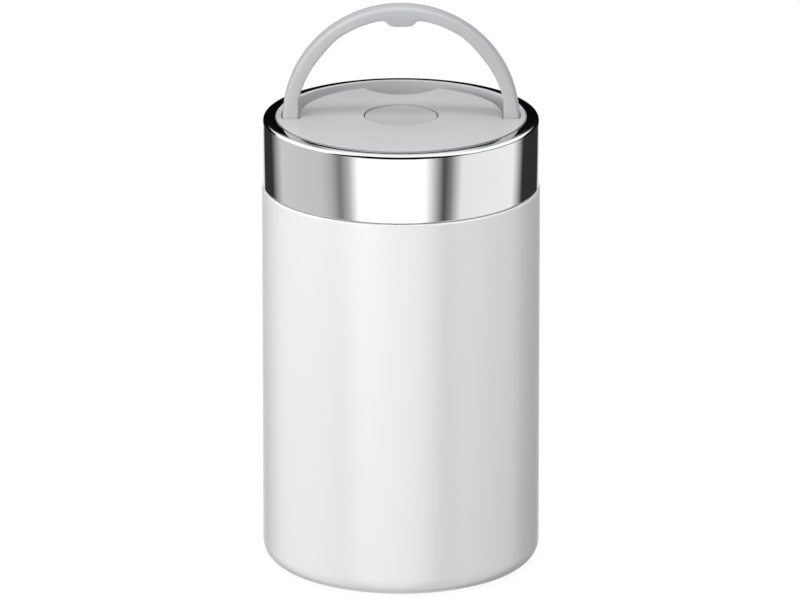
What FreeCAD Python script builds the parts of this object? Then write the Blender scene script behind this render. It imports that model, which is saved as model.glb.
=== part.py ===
import FreeCAD, Part
import math
import os
import Sketcher
from types import SimpleNamespace

# Insulated food jar with a screw lid, a folding carry handle and a vent button
# Origin in the middle of the foot, +Z up, -Y towards the viewer, handle upright
# Every size is in millimetres

SIZES = {
    # Overall
    "body_radius": 51.0,  # painted shell and steel band
    "lid_top": 169.8,  # height of the lid's flat top
    "sheet": 0.6,  # every drawn steel sheet
    # Painted shell and its foot
    "foot_bend": 7.0,
    "foot_width": 4.0,
    "shoulder_bend": 0.9,
    "neck_step": 4.4,
    "neck_gap": 1.0,  # between the shell's neck and the liner's
    # Base plate, its cover, the sealing bead and the getter
    "plate_margin": 0.6,
    "plate_inset": 0.4,
    "plate_rise": 1.9,
    "vent_hole_radius": 1.0,
    "cover_inset": 1.7,
    "cover_gap": 0.7,
    "bead_radius": 3.0,
    "bead_thickness": 0.5,
    "bead_stub_radius": 0.7,
    "getter_radius": 5.0,
    "getter_thickness": 1.2,
    "getter_offset": 20.0,
    # Inner liner and the foil round it
    "vacuum_gap": 3.2,
    "liner_bend": 10.0,
    "liner_neck_drop": 1.2,
    "liner_neck_rise": 3.6,
    "foil_gap": 0.3,
    "foil_thickness": 0.2,
    "foil_margin": 4.0,
    # Mouth seal
    "seal_width": 1.2,
    "seal_thickness": 1.8,
    "seal_depth": 5.0,
    "seal_clearance": 0.3,
    "seal_inset": 2.9,
    # Steel band of the lid
    "band_height": 25.7,
    "band_bend": 1.8,
    "band_drop": 0.4,
    "band_face": 4.8,
    "band_hem": 2.4,
    "band_hem_bend": 0.7,
    "band_slit": 0.25,  # between the band and the grey lip
    "seam_gap": 0.3,
    # Inner part of the lid
    "skirt_clearance": 0.3,
    "thread_room": 1.2,
    "deck_thickness": 1.5,
    "plug_clearance": 0.3,
    "plug_wall": 1.6,
    "plug_depth": 8.5,
    "plug_bend": 1.5,
    "guide_radius": 5.2,
    "guide_taper": 0.6,
    "guide_height": 4.4,
    "vent_radius": 0.5,
    "vent_margin": 0.55,
    # Foam ring in the lid and the ring that wipes the stem
    "foam_inner_radius": 14.0,
    "foam_clearance": 0.3,
    "wiper_width": 0.85,
    "wiper_height": 1.1,
    "wiper_clearance": 0.1,
    # Grey cover of the lid
    "cover_flange": 2.0,
    "cover_plate": 2.2,
    "cover_wall": 1.6,
    "cover_edge": 0.5,
    "lip_width": 2.4,
    "recess_floor": 1.4,
    "slot_gap": 0.2,
    "scoop_radius": 15.3,
    "scoop_inset": 2.3,
    # Carry handle, its pivot and its pins
    "handle_depth": 9.0,
    "handle_gap": 0.5,
    "swing_gap": 0.6,
    "pivot_front": 1.5,
    "foot_thickness": 5.8,
    "grip_side_thickness": 5.0,
    "grip_top_thickness": 4.2,
    "grip_tab_thickness": 6.7,
    "grip_side_share": 0.69,  # share of the handle's radius, to the side
    "grip_top_share": 0.51,
    "grip_top_end": 7.2,
    "grip_tab_end": 2.6,
    "grip_tab_blend": 2.5,
    "handle_outer_rounding": 1.4,
    "handle_inner_rounding": 0.7,
    "handle_heel_rise": 2.0,
    "pin_radius": 1.25,
    "pin_clearance": 0.05,
    "pin_seat": 1.2,
    "pin_bite": 1.6,
    # Vent button, its stem, seal and spring
    "button_radius": 13.3,
    "button_gap": 0.4,
    "button_drop": 0.2,
    "button_dish": 0.5,
    "button_edge": 0.6,
    "button_rim": 1.2,
    "button_plate": 1.8,
    "button_skirt_wall": 1.4,
    "button_skirt_depth": 5.0,
    "sleeve_wall": 1.4,
    "sleeve_depth": 8.5,
    "stem_radius": 2.6,
    "stem_clearance": 0.05,
    "stem_boss_wall": 1.4,
    "stem_boss_depth": 4.0,
    "valve_margin": 0.7,
    "valve_thickness": 2.0,
    "valve_foot_wall": 2.4,
    "valve_foot_thickness": 1.2,
    "spring_gap": 0.45,
    "spring_wire": 0.7,
    "spring_turns": 6.0,
}
VENTS = 4


# A number together with the formula that ties it to the sheet
class Size:
    def __init__(self, number, formula):
        self.number = float(number)
        self.formula = formula

    def join(self, sign, other, number):
        return Size(number, f"({self.formula} {sign} {asSize(other).formula})")

    def __add__(self, other):
        return self.join("+", other, self.number + asSize(other).number)

    def __sub__(self, other):
        return self.join("-", other, self.number - asSize(other).number)

    def __mul__(self, other):
        return self.join("*", other, self.number * asSize(other).number)

    def __truediv__(self, other):
        return self.join("/", other, self.number / asSize(other).number)

    def __neg__(self):
        return asSize(0) - self


def asSize(value):
    return value if isinstance(value, Size) else Size(value, repr(value))


# A rounded way from one corner of an outline to the next
class Bend:
    def __init__(self, radius, centre, turn):
        self.radius = radius
        self.centre = centre
        self.turn = turn


LEFT = "left"
RIGHT = "right"
ZERO = asSize(0)
START, END, CENTRE = range(1, 4)

doc = FreeCAD.newDocument("food_jar")
sheet = doc.addObject("Spreadsheet::Sheet", "Sizes")
for row, (alias, number) in enumerate(SIZES.items(), start=1):
    sheet.set(f"A{row}", alias)
    sheet.set(f"B{row}", str(number))
    sheet.setAlias(f"B{row}", alias)
doc.recompute()
d = SimpleNamespace(**{alias: Size(number, f"Sizes.{alias}") for alias, number in SIZES.items()})
bodies = {}


def newBody(name):
    body = doc.addObject("PartDesign::Body", name)
    body.Label = name
    bodies[name] = body
    return body


def newSketch(body, name, role, height=ZERO):
    sketch = body.newObject("Sketcher::SketchObject", name)
    plane = next(f for f in body.Origin.OriginFeatures if f.Role == role)
    sketch.AttachmentSupport = [(plane, "")]
    sketch.MapMode = "FlatFace"
    if height is not ZERO:
        sketch.setExpression("AttachmentOffset.Base.z", height.formula)
    return sketch


def bindSize(sketch, kind, items, value):
    index = sketch.addConstraint(Sketcher.Constraint(kind, *items, value.number))
    label = f"size{index}"
    sketch.renameConstraint(index, label)
    sketch.setExpression(f"Constraints.{label}", value.formula)


# Ties one point to its place; a plain number is only where the solver starts
def bindPoint(sketch, edge, end, point):
    for index, (kind, value) in enumerate(zip(("DistanceX", "DistanceY"), point)):
        if value is ZERO:
            own_axis = index - len(point)
            sketch.addConstraint(Sketcher.Constraint("PointOnObject", edge, end, own_axis))
        elif isinstance(value, Size):
            bindSize(sketch, kind, (edge, end), value)


def towards(start, end):
    run = [asSize(e).number - asSize(s).number for s, e in zip(start, end)]
    length = math.hypot(*run)
    return [round(step / length) for step in run]


# Turns corners (x, y) and rounded corners (x, y, radius) into points and bends
def roundCorners(steps):
    way = []
    for index, step in enumerate(steps):
        if isinstance(step, Bend) or len(step) == 2:
            way.append(step)
            continue
        x, y, radius = step
        back = towards((x, y), steps[index - 1])
        ahead = towards((x, y), steps[(index + 1) % len(steps)])
        centre = (x + radius * (back[0] + ahead[0]), y + radius * (back[1] + ahead[1]))
        turn = LEFT if back[1] * ahead[0] - back[0] * ahead[1] > 0 else RIGHT
        way.append((x + radius * back[0], y + radius * back[1]))
        way.append(Bend(radius, (centre[0].number, centre[1].number), turn))
        way.append((x + radius * ahead[0], y + radius * ahead[1]))
    return way


def addEdge(sketch, start, end, bend):
    first = FreeCAD.Vector(*[asSize(v).number for v in start], 0)
    last = FreeCAD.Vector(*[asSize(v).number for v in end], 0)
    if bend is None:
        return sketch.addGeometry(Part.LineSegment(first, last)), START, END
    centre = FreeCAD.Vector(*[asSize(v).number for v in bend.centre], 0)
    circle = Part.Circle(centre, FreeCAD.Vector(0, 0, 1), bend.radius.number)
    angles = [math.atan2(p.y - centre.y, p.x - centre.x) for p in (first, last)]
    ends = (START, END)
    if bend.turn == RIGHT:
        angles.reverse()
        ends = (END, START)
    edge = sketch.addGeometry(Part.ArcOfCircle(circle, *angles))
    bindSize(sketch, "Radius", (edge,), bend.radius)
    bindPoint(sketch, edge, CENTRE, bend.centre)
    return edge, *ends


# Draws one closed outline whose corners and bends follow the sheet
def drawOutline(sketch, steps):
    way = roundCorners(steps)
    points = [step for step in way if not isinstance(step, Bend)]
    bends = []
    for index, step in enumerate(way):
        if not isinstance(step, Bend):
            ahead = way[(index + 1) % len(way)]
            bends.append(ahead if isinstance(ahead, Bend) else None)
    edges = []
    for index, point in enumerate(points):
        edges.append(addEdge(sketch, point, points[(index + 1) % len(points)], bends[index]))
    for index, (edge, start, end) in enumerate(edges):
        following = edges[(index + 1) % len(edges)]
        sketch.addConstraint(Sketcher.Constraint("Coincident", edge, end, following[0], following[1]))
        bindPoint(sketch, edge, start, points[index])


def drawCircle(sketch, x, y, radius):
    centre = FreeCAD.Vector(x.number, y.number, 0)
    edge = sketch.addGeometry(Part.Circle(centre, FreeCAD.Vector(0, 0, 1), radius.number))
    bindSize(sketch, "Radius", (edge,), radius)
    bindPoint(sketch, edge, CENTRE, (x, y))


# Turned pieces: an outline of radius and height, spun round the jar's axis
def turn(body, name, steps):
    sketch = newSketch(body, name + "_outline", "XZ_Plane")
    drawOutline(sketch, steps)
    feature = body.newObject("PartDesign::Revolution", name)
    feature.Profile = sketch
    feature.ReferenceAxis = (sketch, ["V_Axis"])
    feature.Angle = 360
    doc.recompute()
    return feature


def extrude(body, name, sketch, length=None, cut=False, both=False, down=False):
    feature = body.newObject("PartDesign::Pocket" if cut else "PartDesign::Pad", name)
    feature.Profile = sketch
    before = body.Shape.Volume if cut else 0
    if both:
        feature.SideType = "Symmetric"
    if length is None:
        feature.Type = "ThroughAll"
    else:
        feature.setExpression("Length", length.formula)
    feature.Reversed = down
    doc.recompute()
    if cut and not body.Shape.Volume < before:
        raise RuntimeError(name + " cuts nothing")
    return feature


# Rounds the edges of the body's last feature that the test picks out
def soften(body, name, radius, test):
    base = body.Tip
    picked = [f"Edge{n}" for n, edge in enumerate(base.Shape.Edges, start=1) if test(edge)]
    if not picked:
        raise RuntimeError(name + " finds no edge")
    feature = body.newObject("PartDesign::Fillet", name)
    feature.Base = (base, picked)
    feature.setExpression("Radius", radius.formula)
    doc.recompute()
    return feature


def near(value, goal):
    return abs(value - goal) < 0.02


def edgeSpan(edge):
    box = edge.BoundBox
    return box.ZMin, box.ZMax, box.YMin, box.YMax, box.XMin, box.XMax


# Heights, from the top of the lid down to the foot
band_top = d.lid_top - d.band_drop
flange_top = band_top - d.sheet
flange_underside = flange_top - d.cover_flange
seam_height = band_top - d.band_height
shoulder = seam_height - d.seam_gap
hem_top = seam_height + d.sheet
handle_front = d.handle_depth / 2
pivot_depth = handle_front - d.pivot_front
pivot_height = d.lid_top - pivot_depth
recess_base = pivot_height - handle_front - d.pivot_front - d.swing_gap
deck_top = recess_base - d.recess_floor
deck_underside = deck_top - d.deck_thickness
rim_height = deck_underside - d.seal_thickness
neck_top = rim_height - d.sheet
plug_bottom = rim_height - d.plug_depth
plug_floor = plug_bottom + d.plug_wall
plate_bottom = d.lid_top - d.cover_plate
button_top = d.lid_top - d.button_drop
liner_neck_end = shoulder - d.liner_neck_drop
liner_neck_start = liner_neck_end - d.liner_neck_rise
plate_top = d.sheet * 2 + d.plate_rise
plate_underside = plate_top - d.sheet
cover_bottom = plate_underside - d.cover_gap - d.sheet
liner_underside = plate_top + d.vacuum_gap

# Radii, from the outside in
shell_inner = d.body_radius - d.sheet
skirt_outer = shell_inner - d.skirt_clearance
liner_outer = shell_inner - d.vacuum_gap
liner_inner = liner_outer - d.sheet
neck_radius = d.body_radius - d.neck_step
neck_inner = neck_radius - d.sheet
mouth_outer = neck_inner - d.neck_gap
mouth_radius = mouth_outer - d.sheet
skirt_inner = neck_radius + d.thread_room
seal_inner = mouth_radius - d.seal_inset
plug_radius = seal_inner - d.plug_clearance
plug_inner = plug_radius - d.plug_wall
foot_inner = d.body_radius - d.foot_bend - d.foot_width
plate_radius = foot_inner + d.foot_width - d.plate_margin
plate_wall = foot_inner - d.plate_inset
cover_radius = plate_wall - d.sheet - d.cover_inset
lip_radius = d.body_radius - d.band_face
recess_outer = lip_radius - d.lip_width
handle_radius = recess_outer - d.handle_gap
foot_face = handle_radius - d.foot_thickness
recess_inner = foot_face - d.handle_gap
scoop_centre = recess_outer - d.scoop_inset
button_hole = d.button_radius + d.button_gap
sleeve_outer = button_hole + d.sleeve_wall
stem_bore = d.stem_radius + d.stem_clearance
spring_radius = d.guide_radius + d.spring_gap + d.spring_wire / 2
vent_offset = spring_radius + d.spring_wire / 2 + d.vent_margin + d.vent_radius
valve_radius = vent_offset + d.vent_radius + d.valve_margin

# Painted steel shell with its shoulder, neck and turned-in foot
outer_shell = newBody("outer_shell")
turn(outer_shell, "shell_wall", [
    (foot_inner, ZERO),
    (d.body_radius, ZERO, d.foot_bend),
    (d.body_radius, shoulder, d.shoulder_bend),
    (neck_radius, shoulder),
    (neck_radius, neck_top),
    (neck_inner, neck_top),
    (neck_inner, shoulder - d.sheet),
    (shell_inner, shoulder - d.sheet, d.shoulder_bend - d.sheet),
    (shell_inner, d.sheet, d.foot_bend - d.sheet),
    (foot_inner, d.sheet),
])

# Base plate that closes the vacuum, raised inside the foot
base_plate = newBody("base_plate")
turn(base_plate, "plate_sheet", [
    (d.vent_hole_radius, plate_underside),
    (plate_wall - d.sheet, plate_underside, d.sheet),
    (plate_wall - d.sheet, d.sheet),
    (plate_radius, d.sheet),
    (plate_radius, d.sheet * 2),
    (plate_wall, d.sheet * 2),
    (plate_wall, plate_top, d.sheet * 2),
    (d.vent_hole_radius, plate_top),
])

# Plain cover disc in the foot, its rim turned up against the base plate
base_cover = newBody("base_cover")
turn(base_cover, "cover_sheet", [
    (ZERO, cover_bottom),
    (cover_radius, cover_bottom, d.sheet),
    (cover_radius, plate_underside),
    (cover_radius - d.sheet, plate_underside),
    (cover_radius - d.sheet, cover_bottom + d.sheet),
    (ZERO, cover_bottom + d.sheet),
])

# Bead that seals the evacuation hole
sealing_bead = newBody("sealing_bead")
turn(sealing_bead, "bead_solid", [
    (ZERO, plate_underside - d.bead_thickness),
    (d.bead_radius, plate_underside - d.bead_thickness, d.bead_thickness / 2),
    (d.bead_radius, plate_underside),
    (d.bead_stub_radius, plate_underside),
    (d.bead_stub_radius, plate_top),
    (ZERO, plate_top),
])

# Getter pellet on the base plate, inside the vacuum
getter = newBody("getter")
getter_sketch = newSketch(getter, "getter_outline", "XY_Plane", plate_top)
drawCircle(getter_sketch, d.getter_offset, ZERO, d.getter_radius)
extrude(getter, "getter_disc", getter_sketch, d.getter_thickness)

# Inner liner: deep drawn can, drawn-in neck and a flange over the shell's edge
inner_liner = newBody("inner_liner")
turn(inner_liner, "liner_wall", [
    (ZERO, liner_underside),
    (liner_outer, liner_underside, d.liner_bend),
    (liner_outer, liner_neck_start),
    (mouth_outer, liner_neck_end),
    (mouth_outer, neck_top),
    (neck_radius, neck_top),
    (neck_radius, rim_height),
    (mouth_radius, rim_height, d.sheet),
    (mouth_radius, liner_neck_end),
    (liner_inner, liner_neck_start),
    (liner_inner, liner_underside + d.sheet, d.liner_bend - d.sheet),
    (ZERO, liner_underside + d.sheet),
])

# Foil wrapped round the liner, inside the vacuum
heat_foil = newBody("heat_foil")
foil_inner = liner_outer + d.foil_gap
turn(heat_foil, "foil_sheet", [
    (foil_inner, liner_underside + d.liner_bend + d.foil_margin),
    (foil_inner + d.foil_thickness, liner_underside + d.liner_bend + d.foil_margin),
    (foil_inner + d.foil_thickness, liner_neck_start - d.foil_margin),
    (foil_inner, liner_neck_start - d.foil_margin),
])

# Silicone seal: flat flange on the rim and a lip down inside the mouth
seal_ring = newBody("seal_ring")
seal_bottom = rim_height - d.seal_depth
seal_web_outer = seal_inner + d.seal_width
turn(seal_ring, "seal_section", [
    (seal_inner, seal_bottom),
    (seal_web_outer, seal_bottom),
    (mouth_radius - d.seal_clearance, seal_bottom + d.seal_depth / 3),
    (seal_web_outer, seal_bottom + d.seal_depth / 2),
    (seal_web_outer, rim_height),
    (neck_radius, rim_height),
    (neck_radius, deck_underside),
    (seal_inner, deck_underside),
])

# Mirror steel band: shoulder bend at the top, hem under the skirt
lid_band = newBody("lid_band")
turn(lid_band, "band_sheet", [
    (d.body_radius - d.band_hem, seam_height),
    (d.body_radius, seam_height, d.band_hem_bend),
    (d.body_radius, band_top, d.band_bend),
    (lip_radius + d.band_slit, band_top),
    (lip_radius + d.band_slit, flange_top),
    (shell_inner, flange_top, d.band_bend - d.sheet),
    (shell_inner, hem_top),
    (d.body_radius - d.band_hem, hem_top),
])

# Inner part of the lid: threaded skirt, deck, hollow plug and a guide for the stem
guide_top = plug_floor + d.guide_height
wiper_bottom = guide_top - d.wiper_height
wiper_outer = stem_bore + d.wiper_width
wiper_seat = wiper_outer + d.wiper_clearance
lid_inner = newBody("lid_inner")
turn(lid_inner, "plug_and_skirt", [
    (stem_bore, plug_bottom),
    (plug_radius, plug_bottom, d.plug_bend),
    (plug_radius, deck_underside),
    (skirt_inner, deck_underside),
    (skirt_inner, hem_top),
    (skirt_outer, hem_top),
    (skirt_outer, flange_underside),
    (skirt_inner, flange_underside),
    (skirt_inner, deck_top),
    (plug_inner, deck_top),
    (plug_inner, plug_floor, d.plug_bend / 2),
    (d.guide_radius, plug_floor),
    (d.guide_radius - d.guide_taper, guide_top),
    (wiper_seat, guide_top),
    (wiper_seat, wiper_bottom),
    (stem_bore, wiper_bottom),
])

vents = newSketch(lid_inner, "vent_outline", "XY_Plane", plug_bottom)
drawCircle(vents, vent_offset, ZERO, d.vent_radius)
first_vent = extrude(lid_inner, "first_vent", vents, d.plug_wall, cut=True, down=True)
vent_ring = lid_inner.newObject("PartDesign::PolarPattern", "vent_ring")
vent_ring.Originals = [first_vent]
vent_ring.Axis = (vents, ["N_Axis"])
vent_ring.Angle = 360
vent_ring.Occurrences = VENTS
lid_inner.Tip = vent_ring
doc.recompute()

# Silicone ring that wipes the stem, in the top of the guide
stem_wiper = newBody("stem_wiper")
turn(stem_wiper, "wiper_section", [
    (stem_bore, wiper_bottom),
    (wiper_outer, wiper_bottom),
    (wiper_outer, guide_top),
    (stem_bore, guide_top),
])

# Foam ring that fills the plug
lid_insulation = newBody("lid_insulation")
turn(lid_insulation, "foam_ring", [
    (d.foam_inner_radius, plug_floor),
    (plug_inner - d.foam_clearance, plug_floor, d.plug_bend),
    (plug_inner - d.foam_clearance, deck_top),
    (d.foam_inner_radius, deck_top),
])

# Grey moulded cover: lip, flange under the band, handle recess and button sleeve
lid_cover = newBody("lid_cover")
turn(lid_cover, "cover_block", [
    (ZERO, deck_top),
    (lip_radius, deck_top),
    (lip_radius, flange_underside),
    (skirt_outer, flange_underside),
    (skirt_outer, flange_top, d.band_bend - d.sheet),
    (lip_radius, flange_top),
    (lip_radius, d.lid_top, d.cover_edge),
    (ZERO, d.lid_top),
])


# Where a circle about the jar's axis reaches a given distance to the side
def acrossCircle(radius, offset):
    return math.sqrt(radius.number ** 2 - offset.number ** 2)


# The hollow below keeps one wall round the recess, the scoop and the lip
hollow = newSketch(lid_cover, "hollow_outline", "XY_Plane", deck_top)
hollow_outer = lip_radius - d.cover_wall
hollow_inner = recess_inner - d.cover_wall
hollow_front = -(handle_front + d.slot_gap + d.cover_wall)
scoop_wall = d.scoop_radius + d.cover_wall
meeting_y = (hollow_inner.number ** 2 - scoop_wall.number ** 2 + scoop_centre.number ** 2)
meeting_y = meeting_y / (2 * scoop_centre.number)
meeting_x = math.sqrt(hollow_inner.number ** 2 - meeting_y ** 2)
front_x = acrossCircle(hollow_outer, hollow_front)
side_x = acrossCircle(hollow_inner, hollow_front)
drawOutline(hollow, [
    (side_x, hollow_front),
    Bend(hollow_inner, (ZERO, ZERO), LEFT),
    (meeting_x, meeting_y),
    Bend(scoop_wall, (ZERO, scoop_centre), RIGHT),
    (-meeting_x, meeting_y),
    Bend(hollow_inner, (ZERO, ZERO), LEFT),
    (-side_x, hollow_front),
    (-front_x, hollow_front),
    Bend(hollow_outer, (ZERO, ZERO), LEFT),
    (front_x, hollow_front),
])
extrude(lid_cover, "hollow", hollow, plate_bottom - deck_top, cut=True, down=True)

# Recess that takes the folded handle, with the slots for its feet
recess = newSketch(lid_cover, "recess_outline", "XY_Plane", recess_base)
recess_y = -(handle_front + d.slot_gap)
outer_x = acrossCircle(recess_outer, recess_y)
inner_x = acrossCircle(recess_inner, recess_y)
drawOutline(recess, [
    (outer_x, recess_y),
    Bend(recess_outer, (ZERO, ZERO), LEFT),
    (-outer_x, recess_y),
    (-inner_x, recess_y),
    Bend(recess_inner, (ZERO, ZERO), RIGHT),
    (inner_x, recess_y),
])
extrude(lid_cover, "recess", recess, cut=True, down=True)

# Finger scoop in front of the folded handle
scoop = newSketch(lid_cover, "scoop_outline", "XY_Plane", recess_base)
scoop_meeting_y = recess_outer.number ** 2 - d.scoop_radius.number ** 2
scoop_meeting_y = (scoop_meeting_y + scoop_centre.number ** 2) / (2 * scoop_centre.number)
scoop_meeting_x = math.sqrt(recess_outer.number ** 2 - scoop_meeting_y ** 2)
drawOutline(scoop, [
    (scoop_meeting_x, scoop_meeting_y),
    Bend(recess_outer, (ZERO, ZERO), LEFT),
    (-scoop_meeting_x, scoop_meeting_y),
    Bend(d.scoop_radius, (ZERO, scoop_centre), LEFT),
])
extrude(lid_cover, "scoop", scoop, cut=True, down=True)

# Cross holes for the two handle pins, blind in the lip
pin_outer_end = recess_outer + d.pin_bite
pin_inner_end = recess_inner - d.pin_seat
pin_holes = newSketch(lid_cover, "pin_hole_outline", "YZ_Plane")
drawCircle(pin_holes, -d.pivot_front, pivot_height, d.pin_radius)
extrude(lid_cover, "pin_holes", pin_holes, pin_outer_end * 2, cut=True, both=True)

# Sleeve under the button hole, then the hole itself
turn(lid_cover, "button_sleeve", [
    (button_hole - d.sleeve_wall / 2, d.lid_top - d.sleeve_depth),
    (sleeve_outer, d.lid_top - d.sleeve_depth),
    (sleeve_outer, d.lid_top - d.cover_plate / 2),
    (button_hole - d.sleeve_wall / 2, d.lid_top - d.cover_plate / 2),
])
hole_sketch = newSketch(lid_cover, "button_hole_outline", "XY_Plane", deck_top)
drawCircle(hole_sketch, ZERO, ZERO, button_hole)
extrude(lid_cover, "button_hole", hole_sketch, cut=True, down=True)

# Carry handle: arch with finger waves, a centre tab and two slotted feet
handle = newBody("handle")
arch = newSketch(handle, "arch_outline", "XZ_Plane")
foot_bottom = pivot_height - pivot_depth
arch_centre = pivot_height + d.pivot_front
middle = (ZERO, arch_centre)
grip_side = handle_radius - d.grip_side_thickness
grip_top = handle_radius - d.grip_top_thickness
grip_tab = handle_radius - d.grip_tab_thickness
grip_side_end = handle_radius * d.grip_side_share
grip_top_start = handle_radius * d.grip_top_share


def onArch(radius, x):
    return math.sqrt(radius.number ** 2 - x.number ** 2) + arch_centre.number


# One side of the grip from the foot to the middle, as radius and distance to the side
GRIP = [
    (grip_side, foot_face),
    (grip_side, grip_side_end),
    (grip_top, grip_top_start),
    (grip_top, d.grip_top_end),
    (grip_tab, d.grip_tab_end),
]
left_grip = [(-x, onArch(radius, x)) for radius, x in GRIP]
right_grip = [(x, onArch(radius, x)) for radius, x in reversed(GRIP)]
side_bend = Bend(grip_side, middle, RIGHT)
top_bend = Bend(grip_top, middle, RIGHT)
tab_bend = Bend(grip_tab, middle, RIGHT)
drawOutline(arch, [
    (foot_face, foot_bottom),
    (handle_radius, foot_bottom),
    (handle_radius.number, arch_centre),
    Bend(handle_radius, middle, LEFT),
    (-handle_radius.number, arch_centre),
    (-handle_radius, foot_bottom),
    (-foot_face, foot_bottom),
    left_grip[0], side_bend, left_grip[1],
    left_grip[2], top_bend, left_grip[3],
    left_grip[4], tab_bend, right_grip[0],
    right_grip[1], top_bend, right_grip[2],
    right_grip[3], side_bend, right_grip[4],
])
extrude(handle, "arch", arch, d.handle_depth, both=True)


def onFace(edge):
    y_low, y_high = edgeSpan(edge)[2:4]
    return near(y_low, y_high) and near(abs(y_low), handle_front.number)


# Distance from the middle of the arch, or to the side below it
def reaches(edge):
    points = [vertex.Point for vertex in edge.Vertexes]
    return [math.hypot(p.x, max(p.z - arch_centre.number, 0)) for p in points]


def isTabEdge(edge):
    z_low, z_high, y_low, y_high, x_low, x_high = edgeSpan(edge)
    across = near(z_low, z_high) and not near(y_low, y_high)
    return across and abs(x_low) < grip_top_start.number / 2 and z_low > d.lid_top.number


def isOuterEdge(edge):
    sides = not near(edge.BoundBox.ZMin, edge.BoundBox.ZMax)
    return onFace(edge) and sides and all(near(far, handle_radius.number) for far in reaches(edge))


def isInnerEdge(edge):
    above = not near(edge.BoundBox.ZMax, foot_bottom.number)
    half_way = (handle_radius.number + grip_top.number) / 2
    return onFace(edge) and above and max(reaches(edge)) < half_way


soften(handle, "tab_blend", d.grip_tab_blend, isTabEdge)
soften(handle, "outer_rounding", d.handle_outer_rounding, isOuterEdge)
soften(handle, "inner_rounding", d.handle_inner_rounding, isInnerEdge)

# The heel is round about the pivot in front and rises behind, so that it can swing
heel = newSketch(handle, "heel_outline", "YZ_Plane")
heel_front = -handle_front
heel_back = handle_front
drawOutline(heel, [
    (heel_front, pivot_height),
    Bend(pivot_depth, (-d.pivot_front.number, pivot_height.number), LEFT),
    (-d.pivot_front, foot_bottom),
    (heel_back, foot_bottom + d.handle_heel_rise),
    (heel_back + pivot_depth, foot_bottom + d.handle_heel_rise),
    (heel_back + pivot_depth, foot_bottom - pivot_depth),
    (heel_front - pivot_depth, foot_bottom - pivot_depth),
    (heel_front - pivot_depth, pivot_height),
])
extrude(handle, "heels", heel, cut=True, both=True)

bores = newSketch(handle, "bore_outline", "YZ_Plane")
drawCircle(bores, -d.pivot_front, pivot_height, d.pin_radius + d.pin_clearance)
extrude(handle, "bores", bores, cut=True, both=True)

# Steel pins that carry the handle in the cover's walls
for name, side in (("handle_pin_left", LEFT), ("handle_pin_right", RIGHT)):
    pin = newBody(name)
    start = -pin_outer_end if side == LEFT else pin_inner_end
    pin_sketch = newSketch(pin, name + "_outline", "YZ_Plane", start)
    drawCircle(pin_sketch, -d.pivot_front, pivot_height, d.pin_radius)
    extrude(pin, name + "_rod", pin_sketch, pin_outer_end - pin_inner_end)

# Vent button: dished cap with a skirt and a socket for the stem
button_plate_underside = button_top - d.button_plate
dish_edge = d.button_radius - d.button_rim
dish_radius = (dish_edge * dish_edge + d.button_dish * d.button_dish) / (d.button_dish * 2)
dish_middle = button_top - d.button_dish + dish_radius
button_inner = d.button_radius - d.button_skirt_wall
vent_button = newBody("vent_button")
turn(vent_button, "button_cap", [
    (ZERO, button_plate_underside),
    (stem_bore, button_plate_underside),
    (stem_bore, button_plate_underside - d.stem_boss_depth),
    (stem_bore + d.stem_boss_wall, button_plate_underside - d.stem_boss_depth),
    (stem_bore + d.stem_boss_wall, button_plate_underside),
    (button_inner, button_plate_underside),
    (button_inner, button_top - d.button_skirt_depth),
    (d.button_radius, button_top - d.button_skirt_depth),
    (d.button_radius, button_top, d.button_edge),
    (dish_edge, button_top.number),
    Bend(dish_radius, (ZERO, dish_middle), RIGHT),
    (ZERO, button_top.number - d.button_dish.number),
])

# Valve stem from the button down through the plug, with a foot under the valve seal
valve_underside = plug_bottom - d.valve_thickness
valve_stem = newBody("valve_stem")
turn(valve_stem, "stem_rod", [
    (ZERO, valve_underside - d.valve_foot_thickness),
    (d.stem_radius + d.valve_foot_wall, valve_underside - d.valve_foot_thickness),
    (d.stem_radius + d.valve_foot_wall, valve_underside),
    (d.stem_radius, valve_underside),
    (d.stem_radius, button_plate_underside),
    (ZERO, button_plate_underside),
])

# Silicone valve seal, drawn up against the plug's underside
valve_seal = newBody("valve_seal")
turn(valve_seal, "valve_disc", [
    (stem_bore, valve_underside),
    (valve_radius, valve_underside, d.valve_thickness / 4),
    (valve_radius, plug_bottom),
    (stem_bore, plug_bottom),
])

# Coil spring round the stem, between the plug's floor and the button: one wire on half-turn arcs
spring_wire = d.spring_wire.number
spring_low = plug_floor.number + spring_wire / 2
spring_rise = button_plate_underside.number - plug_floor.number - spring_wire
spring_turns = round(d.spring_turns.number)


def onSpring(turns):
    angle = 2 * math.pi * turns
    across = spring_radius.number * math.cos(angle)
    along = spring_radius.number * math.sin(angle)
    return FreeCAD.Vector(across, along, spring_low + spring_rise * turns / spring_turns)


half_turns = [half / 2 for half in range(2 * spring_turns)]
arcs = [Part.Arc(onSpring(t), onSpring(t + 1 / 4), onSpring(t + 1 / 2)).toShape() for t in half_turns]
wire_path = Part.Wire(arcs)
wire_start = Part.Circle(onSpring(0), arcs[0].tangentAt(arcs[0].FirstParameter), spring_wire / 2)
button_spring = doc.addObject("Part::Feature", "button_spring")
button_spring.Label = "button_spring"
button_spring.Shape = wire_path.makePipeShell([Part.Wire([wire_start.toShape()])], True, False)
button_spring.Placement = FreeCAD.Placement()
bodies["button_spring"] = button_spring
print("gap between turns", round(spring_rise / spring_turns - spring_wire, 2))

# Every object must be sound before any file is written
doc.recompute()
for item in doc.Objects:
    if "Invalid" in item.State or "Error" in item.State:
        raise RuntimeError(item.Name + " failed")
for name, body in bodies.items():
    if body.Shape.isNull() or not body.Shape.isValid() or len(body.Shape.Solids) != 1:
        raise RuntimeError(name + " is not one sound solid")

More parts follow.
